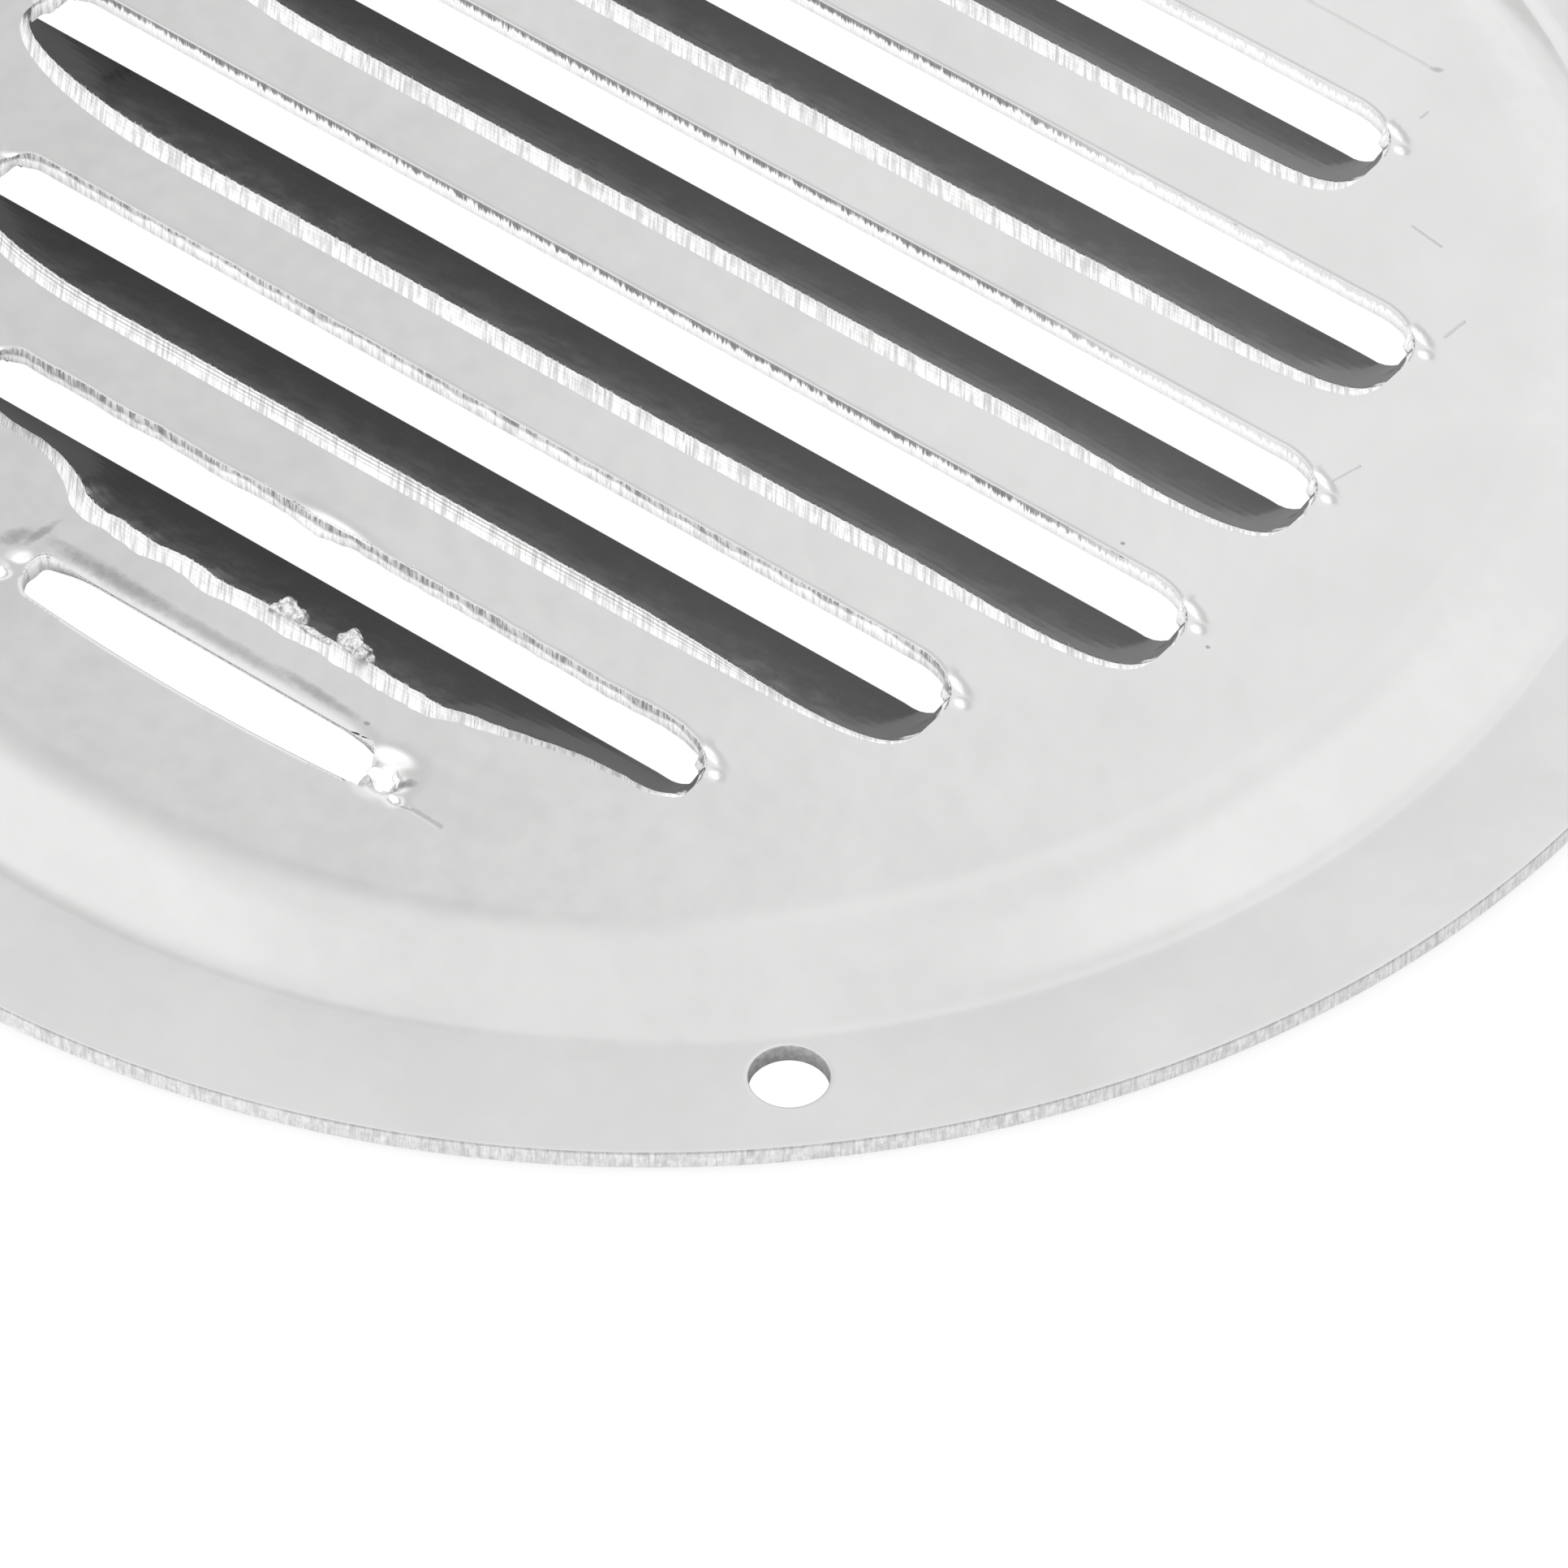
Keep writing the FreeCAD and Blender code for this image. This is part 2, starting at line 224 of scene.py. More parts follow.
class Louvre:
    def __init__(self, number):
        form = louvreForm
        middle = form["shift"] + (number - (form["rows"] + 1) / 2) * form["pitch"]
        self.number = number
        self.slack = number == form["slackRow"]
        self.far = middle + form["width"] / 2
        self.near = middle - form["width"] / 2 - form["wider"].get(number, 0.0)
        self.tip = self.far - form["tipDrop"]
        self.half = math.sqrt(flatRadius ** 2 - self.tip ** 2) - form["endGaps"][number]
        self.sweep = form["nearShare"] * self.half
        self.halves = {1: self.half, -1: self.half - form["shortLeft"].get(number, 0.0)}
        self.step = form["slackStep" if self.slack else "step"]

    # the line where the sheet starts to bend down
    def bendAt(self, x):
        side = 1 if x > 0 else -1
        full = louvreForm["fullness"][side]
        share = min(max(abs(x) - self.halves[side] + self.sweep, 0.0) / self.sweep, 1.0)
        depth = self.tip - self.near
        if self.slack:
            past = (abs(x) - louvreForm["slackHalf"][side]) / louvreForm["slackRamp"][side]
            depth -= louvreForm["slackPinch"] * smoothStep(past)
            depth += waveAlong(x, louvreForm["slackWave"])
        depth -= louvreForm["taper"] * max(min(x, self.half) - louvreForm["taperStart"], 0.0)
        return self.tip - depth * max(1 - share ** full, 0.0) ** (1 / full)

    def shearAt(self, x):
        side = 1 if x > 0 else -1
        corner = louvreForm["farSweep"][side]
        share = min(max(abs(x) - self.halves[side] + corner, 0.0) / corner, 1.0)
        return self.tip + (self.far - self.tip) * math.sqrt(1 - share ** 2)

    # how far the flat beside the sheared edge is pushed across by the edge's waves
    def waveAt(self, x, y):
        past = y - self.shearAt(x)
        if not -self.halves[-1] < x < self.half or past < -1e-3:
            return 0.0
        wave = waveAlong(x, louvreForm["shearWave"])
        wave *= (self.shearAt(x) - self.tip) / (self.far - self.tip)
        return wave * (1 - smoothStep(past / louvreForm["waveReach"]))

    def pressAt(self, x):
        share = min(max((self.half - x) / louvreForm["lipRun"], 0.0), 1.0)
        return 1 - (1 - share) ** 2

    # the scored band thins out towards the right end
    def bandAt(self, x):
        past = (x - self.half + louvreForm["bandFade"]) / louvreForm["bandFade"]
        lost = 1 - louvreForm["bandKept"][self.number]
        return louvreForm["bandShare"] * (1 - lost * smoothStep(past * louvreForm["bandFadeSpeed"]))

    # a point of the lip; reach runs from 0 at the bend over 1 at the band's end to 2 at the free edge
    def lipPoint(self, x, reach):
        form = louvreForm
        press = self.pressAt(x)
        closed = smoothStep((x - self.half + form["scoop"]) / (form["scoopShare"] * form["scoop"]))
        edge = self.shearAt(x) - form["lipSetback"] * press * (1 - closed)
        if x < 0:
            edge = self.far - form["lipSetback"]
        lower = form["lipLower"].get(self.number, 0.0)
        lower *= smoothStep((x - form["lipLowerFrom"]) / form["lipLowerRun"])
        edge -= lower * press * (1 - closed)
        bend = self.bendAt(x)
        band = self.bandAt(x)
        drop = form["bandDrop"] * band / form["bandShare"]
        if reach <= 1:
            share, fall = band * reach, drop * reach
        else:
            share = band + (1 - band) * (reach - 1)
            steep = form["bladeSteep"]
            fall = drop + (1 - drop) * (steep * (reach - 1) + (1 - steep) * (reach - 1) ** 2)
            fall *= 1 - closed * smoothStep((reach - form["scoopReach"]) / form["scoopRun"])
        kept = smoothStep((x + self.halves[-1]) / form["splayRun"])
        spread = form["splay"] * press * fall ** 2 * (1 - kept)
        height = dish["flatHeight"] - form["lipDepth"] * press * fall
        return x - spread, bend + share * (edge - bend), height

    def places(self, sweeps, power):
        steps = louvreForm["endSteps"]
        left = [1 - math.sin(math.pi / 2 * i / steps) ** power for i in range(steps, -1, -1)]
        first, last = sweeps[-1] - self.halves[-1], self.half - sweeps[1]
        count = max(int((last - first) / self.step), 1)
        inner = [first + (last - first) * i / count for i in range(1, count)]
        ends = [share * sweeps[-1] - self.halves[-1] for share in left]
        return ends + inner + [self.half - share * sweeps[1] for share in reversed(left)]

    def nearLine(self):
        places = self.places({1: self.sweep, -1: self.sweep}, louvreForm["crowding"]["near"])
        return [(x, self.bendAt(x)) for x in places]

    def farLine(self):
        places = self.places(louvreForm["farSweep"], louvreForm["crowding"]["far"])
        return [(x, self.shearAt(x)) for x in places]


louvres = {number: Louvre(number) for number in louvreForm["endGaps"]}


# a wide bend at the crest, a cone and a tighter bend at the foot
def shoulderHeight(radius):
    width, foot = dish["shoulderWidth"], dish["footRadius"]
    slope = math.radians(dish["shoulderSlope"])
    rise = dish["flatHeight"] - dish["sheet"]
    crest = (width * math.sin(slope) - rise * math.cos(slope)) / (1 - math.cos(slope)) - foot
    out = radius - flatRadius
    if out < crest * math.sin(slope):
        return dish["flatHeight"] - crest + math.sqrt(crest ** 2 - out ** 2)
    if out > width - foot * math.sin(slope):
        return dish["sheet"] + foot - math.sqrt(foot ** 2 - (width - out) ** 2)
    coneTop = dish["flatHeight"] - crest * (1 - math.cos(slope))
    return coneTop - (out - crest * math.sin(slope)) * math.tan(slope)


def slotLine():
    points = []
    height = slot["farY"] - slot["nearY"]
    middle = (slot["farY"] + slot["nearY"]) / 2
    lean = [near - far for near, far in zip(slot["nearEnds"], slot["farEnds"])]
    steps = slot["endSteps"]
    for end, side in ((1, 1), (0, -1)):
        for step in range(-steps, steps + 1):
            angle = math.pi / 2 * step / steps
            drop = side * height / 2 * math.sin(angle)
            x = (slot["farEnds"][end] + slot["nearEnds"][end]) / 2
            x += side * slot["bulges"][end] * math.cos(angle) - lean[end] * drop / height
            points.append((x, middle + drop))
        start, y = points[-1]
        stop = slot["farEnds"][0] if side > 0 else slot["nearEnds"][1]
        count = int(abs(stop - start) / slot["step"])
        points += [(start + (stop - start) * i / count, y) for i in range(1, count)]
    # the near edge is bowed outwards
    reach = slot["nearEnds"][1]
    share = [max(1 - (x / reach) ** 2, 0.0) * smoothStep((middle - y) / (height / 2)) for x, y in points]
    return [(x, y - slot["bow"] * part) for (x, y), part in zip(points, share)]


# how strongly the sheet is drawn at a point; the same value masks the painted highlight
def drawnAt(x, y):
    total = sum(hollow(x, y, spot) for spot in flares)
    for louvre in louvres.values():
        past = abs(x) - louvre.halves[1 if x > 0 else -1]
        if abs(y - louvre.tip) < puckerReach["across"] and abs(past) < puckerReach["along"]:
            for spot in puckers:
                total += hollow(past, y - louvre.tip, spot)
    return total


def landDip(x, y):
    dip = drawnAt(x, y)
    for spot in dents:
        dip += hollow(x, y, spot)
    past = slot["farY"] + slot["rollWidth"] - y
    if 0 < past < slot["rollWidth"] + slot["rollPast"]:
        past = min(past, slot["rollWidth"])
        fade = smoothStep((slot["rollHalf"] - abs(x - slot["rollMiddle"])) / slot["rollFade"])
        dip += fade * (slot["roll"] - math.sqrt(slot["roll"] ** 2 - past ** 2))
    return dip


# whether a point lies within so many half sizes of a spot
def isBeside(x, y, spot, reach):
    return math.hypot(x - spot[0], y - spot[1]) < reach * max(spot[2], spot[3])


def wantedLength(x, y):
    fine = fineness
    side = 1 if x > 0 else -1
    for louvre in louvres.values():
        past = abs(x) - louvre.halves[side] - fine["tipPast"]
        reach = math.hypot(past, y - louvre.tip - fine["tipBack"])
        if reach < fine["tipReach"]:
            return fine["tip"][side] + fine["tipGain"] * max(reach - fine["tipNear"], 0.0)
    if any(isBeside(x, y, spot, fine["dentReach"]) for spot in dents + flares):
        return fine["dent"]
    past = max(slot["nearY"] - fine["slotBelow"] - y, abs(x) - fine["slotHalf"], 0.0)
    if y < slot["farY"] + fine["slotAbove"] and past < fine["slotReach"]:
        return fine["slot"] + fine["slotGain"] * past
    return fine["plain"]


# each item once, in the order met
def inOrder(items):
    return list(dict.fromkeys(items))


def addLoop(bm, points, height):
    verts = [bm.verts.new((x, y, height)) for x, y in points]
    return [bm.edges.new((here, there)) for here, there in zip(verts, verts[1:] + verts[:1])]


def addCircle(bm, radius, segments, place):
    made = bmesh.ops.create_circle(bm, cap_ends=False, radius=radius, segments=segments, matrix=place)
    return inOrder(edge for vert in made["verts"] for edge in vert.link_edges)


# carries a row of edges on by one row of faces and gives back the new row and its points
def carryOn(bm, row):
    made = bmesh.ops.extrude_edge_only(bm, edges=row)["geom"]
    verts = [g for g in made if isinstance(g, bmesh.types.BMVert)]
    fresh = set(verts)
    return [g for g in made if isinstance(g, bmesh.types.BMEdge) and set(g.verts) <= fresh], verts


def fillOutline(bm, edges):
    made = bmesh.ops.triangle_fill(bm, use_beauty=True, use_dissolve=False, edges=edges, normal=(0, 0, 1))
    return [g for g in made["geom"] if isinstance(g, bmesh.types.BMFace)]


def flatFaces(bm):
    floor = dish["flatHeight"] - dish["level"]
    return [face for face in bm.faces if all(vert.co.z > floor for vert in face.verts)]


# hands the finished mesh over to an object of the same name
def makeObject(bm, name):
    mesh = bpy.data.meshes.new(name)
    bm.to_mesh(mesh)
    bm.free()
    made = bpy.data.objects.new(name, mesh)
    bpy.context.scene.collection.objects.link(made)
    return made


def buildCover():
    bm = bmesh.new()
    acrossLayer = bm.verts.layers.float.new("bendAcross")
    paintedHighlightLayer = bm.verts.layers.float.new("drawn")
    rimPlace = Matrix.Translation((0, 0, dish["sheet"]))
    collar = dish["collar"]
    outline, verts = carryOn(bm, addCircle(bm, dish["outerRadius"], dish["segments"], rimPlace))
    shrink = 1 - collar / dish["outerRadius"]
    bmesh.ops.scale(bm, vec=(shrink, shrink, 1), verts=verts)
    ring = addCircle(bm, rimInner, dish["segments"], rimPlace)
    holes = []
    for number in range(dish["holeCount"]):
        angle = math.radians(dish["holeAngle"]) + math.tau * number / dish["holeCount"]
        place = rimPlace @ Matrix.Rotation(angle, 4, "Z") @ Matrix.Translation((dish["holeCircle"], 0, 0))
        edge, verts = carryOn(bm, addCircle(bm, dish["holeRadius"], dish["holeSegments"], place))
        swell = 1 + collar / dish["holeRadius"]
        bmesh.ops.scale(bm, vec=(swell, swell, 1), space=place.inverted(), verts=verts)
        holes += edge
    fillOutline(bm, outline + ring + holes)
    print("rim filled", len(bm.faces))

    # the shoulder climbs ring by ring to the raised flat
    radius = rimInner
    for step in range(1, dish["shoulderRings"] + 1):
        inward = rimInner - dish["shoulderWidth"] * step / dish["shoulderRings"]
        ring, verts = carryOn(bm, ring)
        bmesh.ops.scale(bm, vec=(inward / radius, inward / radius, 1), verts=verts)
        bmesh.ops.translate(bm, vec=(0, 0, shoulderHeight(inward) - verts[0].co.z), verts=verts)
        radius = inward
    print("shoulder raised", len(bm.faces))

    loops = ring[:]
    for louvre in louvres.values():
        near = louvre.nearLine()
        loops += addLoop(bm, louvre.farLine() + near[-2:0:-1], dish["flatHeight"])
    loops += addLoop(bm, slotLine(), dish["flatHeight"])
    flat = fillOutline(bm, loops)
    bmesh.ops.recalc_face_normals(bm, faces=flat)
    made = bmesh.ops.inset_region(bm, faces=flat, use_boundary=True, use_even_offset=True, thickness=collar)
    flat += made["faces"]
    print("flat filled", len(flat))

    # finer faces where the flat is dented
    for sweep in range(fineness["sweeps"]):
        longEdges = []
        for edge in inOrder(edge for face in flat for edge in face.edges):
            middle = (edge.verts[0].co + edge.verts[1].co) / 2
            wanted = fineness["spare"] * wantedLength(middle.x, middle.y)
            if not edge.is_boundary and edge.calc_length() > wanted:
                if math.hypot(middle.x, middle.y) < flatRadius - fineness["brim"]:
                    longEdges.append(edge)
        if not longEdges:
            break
        bmesh.ops.subdivide_edges(bm, edges=longEdges, cuts=1)
        bmesh.ops.triangulate(bm, faces=flatFaces(bm))
        flat = flatFaces(bm)
        inside = inOrder(edge for face in flat for edge in face.edges)
        inside = [edge for edge in inside if not any(vert.is_boundary for vert in edge.verts)]
        bmesh.ops.beautify_fill(bm, faces=flat, edges=inside)
        flat = flatFaces(bm)
    flatVerts = {vert for face in flat for vert in face.verts}
    bent = louvres[louvreForm["slackRow"]]
    for vert in flatVerts:
        vert[acrossLayer] = -1.0
        vert.co.y += bent.waveAt(vert.co.x, vert.co.y)
    print("flat refined", len(flat), "faces")

    nearEdges = {}
    for edge in bm.edges:
        if edge.is_boundary and flatVerts.issuperset(edge.verts):
            a, b = edge.verts[0].co, edge.verts[1].co
            for number, louvre in louvres.items():
                lowest = louvre.near - louvreForm["nearSpare"]
                if lowest < min(a.y, b.y) and max(a.y, b.y) < louvre.tip + dish["weld"] / 2:
                    nearEdges.setdefault(number, []).append(edge)
    for vert in flatVerts:
        vert[paintedHighlightLayer] = drawnAt(vert.co.x, vert.co.y)
        vert.co.z -= landDip(vert.co.x, vert.co.y)

    rows = louvreForm["bladeRows"]
    reaches = [0.5, 1.0] + [1 + i / rows for i in range(1, rows + 1)]
    for number, louvre in louvres.items():
        row = nearEdges[number]
        for edge in row:
            edge.smooth = False
            for vert in edge.verts:
                vert[acrossLayer] = 0.0
        places = {}
        for reach in reaches:
            start = {tuple(vert.co): places.get(vert, vert.co.x) for edge in row for vert in edge.verts}
            row, verts = carryOn(bm, row)
            for vert in verts:
                places[vert] = start[tuple(vert.co)]
                vert.co = louvre.lipPoint(places[vert], reach)
                vert[acrossLayer] = reach
            if reach == 1.0:
                for edge in row:
                    edge.smooth = False
    bmesh.ops.remove_doubles(bm, verts=bm.verts[:], dist=dish["weld"])
    bmesh.ops.recalc_face_normals(bm, faces=bm.faces[:])
    if sum(face.normal.z for face in bm.faces) < 0:
        bmesh.ops.reverse_faces(bm, faces=bm.faces[:])
    print("lips pressed", len(bm.faces))

    # edges that polishing has rounded
    rollLayer = bm.edges.layers.float.new("bevel_weight_edge")
    for edge in bm.edges:
        if edge.is_boundary:
            middle = (edge.verts[0].co + edge.verts[1].co) / 2
            lip = any(v[acrossLayer] > 0 for v in edge.verts)
            side = 1 if middle.x > 0 else -1
            x, y = abs(middle.x), middle.y
            gaps = [math.hypot(x - louvre.halves[side], y - louvre.tip) for louvre in louvres.values()]
            torn = any(isBeside(middle.x, y, spot, tornReach) for spot in dents)
            if lip or torn or min(gaps) < louvreForm["sharpTip"]:
                edge.smooth = False
            else:
                edge[rollLayer] = 1.0
    bmesh.ops.scale(bm, vec=(mm, mm, mm), verts=bm.verts)
    cover = makeObject(bm, "ventCover")
    cover.data.shade_smooth()

    wall = cover.modifiers.new("sheet", "SOLIDIFY")
    wall.thickness = dish["sheet"] * mm
    wall.offset = -1
    wall.material_offset = 2
    wall.material_offset_rim = 1
    roll = cover.modifiers.new("edgeRoll", "BEVEL")
    roll.limit_method = "WEIGHT"
    roll.width = dish["edgeRoll"] * mm
    roll.segments = 2
    roll.profile = 0.5
    roll.material = -1
    roll.use_clamp_overlap = False
    even = cover.modifiers.new("evenShade", "WEIGHTED_NORMAL")
    even.keep_sharp = True
    return cover


# torn bits left standing: x, y, below the flat, half sizes, turn
burrs = {
    "bits": [
        ((0.1, -26.55, 0.55), (0.62, 0.52, 0.55), 20),
        ((0.85, -26.45, 0.72), (0.55, 0.42, 0.48), -30),
        ((3.75, -26.35, 0.70), (0.64, 0.58, 0.6), -15),
        ((4.6, -26.6, 0.62), (0.60, 0.42, 0.48), 25),
        ((2.4, -27.0, 0.50), (1.25, 0.22, 0.30), -4),
        ((10.08, -31.88, 0.44), (0.70, 0.64, 0.52), 0),
        ((11.25, -32.75, 0.22), (0.30, 0.18, 0.20), -20),
        ((-11.0, -32.7, 0.30), (0.30, 0.34, 0.28), 30),
    ],
    "subdivisions": 4,
    "lumps": 1.9,              # lumps per millimetre, and how far they stand out
    "rough": 0.5,
    "sink": 0.01,              # the bits stay this far below the flat
}


def buildBurrs():
    bm = bmesh.new()
    for (x, y, below), size, turn in burrs["bits"]:
        centre = Vector((x, y, dish["flatHeight"] - below))
        place = Matrix.Translation(centre) @ Matrix.Rotation(math.radians(turn), 4, "Z")
        place = place @ Matrix.Diagonal((*size, 1))
        made = bmesh.ops.create_icosphere(bm, subdivisions=burrs["subdivisions"], radius=1.0, matrix=place)
        for vert in made["verts"]:
            lump = noise.fractal(vert.co * burrs["lumps"], 1.0, 2.0, 4)
            vert.co = centre + (vert.co - centre) * (1 + burrs["rough"] * lump)
            vert.co.z = min(vert.co.z, dish["flatHeight"] - burrs["sink"])
    bmesh.ops.recalc_face_normals(bm, faces=bm.faces[:])
    bmesh.ops.scale(bm, vec=(mm, mm, mm), verts=bm.verts)
    bits = makeObject(bm, "burrs")
    bits.data.shade_smooth()
    print("burrs placed", len(burrs["bits"]))
    return bits


class Nodes:
    def __init__(self, tree):
        self.tree = tree

    def add(self, kind, settings=None, **inputs):
        node = self.tree.nodes.new(kind)
        for name, value in (settings or {}).items():
            setattr(node, name, value)
        for name, value in inputs.items():
            self.feed(node, name, value)
        return node

    def feed(self, node, name, value):
        numbered = name[0] == "i" and name[1:].isdigit()
        socket = node.inputs[int(name[1:]) if numbered else name]
        if isinstance(value, bpy.types.NodeSocket):
            self.tree.links.new(value, socket)
        else:
            socket.default_value = value

    def math(self, operation, *values):
        node = self.add("ShaderNodeMath", {"operation": operation})
        for number, value in enumerate(values):
            self.feed(node, "i%d" % number, value)
        return node.outputs[0]

    def vector(self, operation, *values, out="Vector"):
        node = self.add("ShaderNodeVectorMath", {"operation": operation})
        for number, value in enumerate(values):
            self.feed(node, "i%d" % number, value)
        return node.outputs[out]

    def ramp(self, value, low, high, first=0.0, last=1.0):
        node = self.add("ShaderNodeMapRange", {"interpolation_type": "SMOOTHSTEP"}, Value=value)
        for name, amount in (("From Min", low), ("From Max", high), ("To Min", first), ("To Max", last)):
            self.feed(node, name, amount)
        return node.outputs["Result"]

    # a value about one half, moved to zero and strengthened
    def centred(self, value, gain):
        return self.math("MULTIPLY", self.math("SUBTRACT", value, 0.5), gain)

    def blend(self, first, firstShare, second, secondShare):
        parts = self.math("MULTIPLY", first, firstShare), self.math("MULTIPLY", second, secondShare)
        return self.math("ADD", *parts)

    def axis(self, vector, name):
        return self.add("ShaderNodeSeparateXYZ", None, Vector=vector).outputs[name]

    def dot(self, vector, other):
        return self.vector("DOT_PRODUCT", vector, other, out="Value")

    def mix(self, share, first, second):
        node = self.add("ShaderNodeMix", {"data_type": "FLOAT"})
        self.feed(node, "i0", share)
        self.feed(node, "i2", first)
        self.feed(node, "i3", second)
        return node.outputs[0]

    def noise(self, vector, scale, detail=2.0, rough=0.5):
        node = self.add("ShaderNodeTexNoise", {"noise_dimensions": "3D"}, Vector=vector, Scale=scale)
        self.feed(node, "Detail", detail)
        self.feed(node, "Roughness", rough)
        return node.outputs["Fac"]

    def mixShader(self, share, first, second):
        node = self.add("ShaderNodeMixShader", None, Fac=share)
        self.feed(node, "i1", first.outputs[0])
        self.feed(node, "i2", second.outputs[0])
        return node


def newGroup(name, vectors, values, outputs):
    tree = bpy.data.node_groups.new(name, "ShaderNodeTree")
    for label in vectors:
        tree.interface.new_socket(name=label, in_out="INPUT", socket_type="NodeSocketVector")
    for label in values:
        tree.interface.new_socket(name=label, in_out="INPUT", socket_type="NodeSocketFloat")
    for label in outputs:
        tree.interface.new_socket(name=label, in_out="OUTPUT", socket_type="NodeSocketFloat")
    nodes = Nodes(tree)
    start = tree.nodes.new("NodeGroupInput")
    end = tree.nodes.new("NodeGroupOutput")
    return nodes, start, end


# clouds and faint orange peel left by polishing, in millimetres
def polishGroup():
    nodes, start, end = newGroup("polishClouds", ["Place"], [], ["Tone", "Rough", "Height"])
    place = start.outputs["Place"]
    broad = nodes.noise(place, 0.11, 3.0, 0.55)
    fine = nodes.noise(place, 0.8, 3.0, 0.6)
    nodes.feed(end, "Tone", nodes.blend(broad, 0.7, fine, 0.3))
    nodes.feed(end, "Rough", fine)
    wave = nodes.noise(place, 0.22, 2.0, 0.5)
    peel = nodes.noise(place, 1.6, 2.0, 0.5)
    nodes.feed(end, "Height", nodes.math("ADD", wave, nodes.math("MULTIPLY", peel, 0.06)))
    return nodes.tree


# fine lines drawn across a cut or a bend
def striationGroup():
    nodes, start, end = newGroup("striations", ["Place", "Stretch"], [], ["Tone", "Height"])
    drawn = nodes.vector("MULTIPLY", start.outputs["Place"], start.outputs["Stretch"])
    coarse = nodes.noise(drawn, 6.0, 2.0, 0.6)
    fine = nodes.noise(drawn, 13.0, 2.0, 0.6)
    broken = nodes.noise(start.outputs["Place"], 1.3, 2.0, 0.5)
    both = nodes.blend(coarse, 0.6, fine, 0.4)
    nodes.feed(end, "Tone", nodes.blend(both, 0.85, broken, 0.15))
    nodes.feed(end, "Height", both)
    return nodes.tree


# a scratch between two points
def scratchGroup():
    nodes, start, end = newGroup("scratch", ["Place", "From", "To"], ["Width"], ["Mask"])
    run = nodes.vector("SUBTRACT", start.outputs["To"], start.outputs["From"])
    away = nodes.vector("SUBTRACT", start.outputs["Place"], start.outputs["From"])
    share = nodes.math("DIVIDE", nodes.dot(away, run), nodes.dot(run, run))
    clamp = nodes.add("ShaderNodeClamp", None, Value=share)
    foot = nodes.add("ShaderNodeVectorMath", {"operation": "SCALE"}, i0=run, Scale=clamp.outputs[0])
    gap = nodes.vector("LENGTH", nodes.vector("SUBTRACT", away, foot.outputs[0]), out="Value")
    wobble = nodes.noise(start.outputs["Place"], 2.5, 2.0, 0.6)
    width = nodes.math("MULTIPLY", start.outputs["Width"], nodes.math("ADD", wobble, 0.5))
    nodes.feed(end, "Mask", nodes.ramp(nodes.math("DIVIDE", gap, width), 1.0, 0.3))
    return nodes.tree


# a soft oval of painted shade; Along and Across are the directions over the half sizes
def shadeSpotGroup():
    nodes, start, end = newGroup("shadeSpot", ["Place", "Centre", "Along", "Across"], [], ["Mask"])
    away = nodes.vector("SUBTRACT", start.outputs["Place"], start.outputs["Centre"])
    along = nodes.dot(away, start.outputs["Along"])
    across = nodes.dot(away, start.outputs["Across"])
    reach = nodes.blend(along, along, across, across)
    patchy = nodes.noise(start.outputs["Place"], 2.2, 3.0, 0.65)
    reach = nodes.math("ADD", reach, nodes.math("MULTIPLY", patchy, 1.4))
    nodes.feed(end, "Mask", nodes.ramp(reach, 1.9, 0.5))
    return nodes.tree


def placeInMillimetres(nodes):
    coords = nodes.add("ShaderNodeTexCoord").outputs["Object"]
    scaled = nodes.add("ShaderNodeVectorMath", {"operation": "SCALE"}, i0=coords, Scale=1 / mm)
    return scaled.outputs[0]


def newMaterial(name):
    material = bpy.data.materials.new(name)
    material.use_nodes = True
    nodes = Nodes(material.node_tree)
    return material, nodes, material.node_tree.nodes["Principled BSDF"]


def addGroup(nodes, tree, **inputs):
    return nodes.add("ShaderNodeGroup", {"node_tree": tree}, **inputs)


# gives the shader its grey, and bumps that are measured in millimetres
def feedSteel(nodes, shader, tone, height, strength, blueShare=1.0):
    blue = nodes.math("MULTIPLY", tone, blueShare)
    colour = nodes.add("ShaderNodeCombineColor", None, Red=tone, Green=tone, Blue=blue)
    nodes.feed(shader, "Base Color", colour.outputs[0])
    bump = nodes.add("ShaderNodeBump", None, Strength=strength, Distance=mm, Height=height)
    nodes.feed(shader, "Normal", bump.outputs[0])


# from, to, half width and strength
scratches = [
    ((12.7, 31.56), (19.8, 31.42), 0.15, 0.45),
    ((25.24, 22.59), (27.0, 22.33), 0.10, 0.8),
    ((31.86, 7.45), (32.28, 8.97), 0.09, 0.8),
    ((30.5, 17.82), (30.6, 19.08), 0.14, 0.7),
    ((21.39, 28.46), (21.44, 28.99), 0.09, 0.8),
    ((9.35, -31.5), (9.75, -32.9), 0.14, 1.0),
    ((11.6, -33.05), (12.5, -32.82), 0.12, 1.0),
    ((12.3, -32.80), (13.9, -32.85), 0.18, 1.0),
]


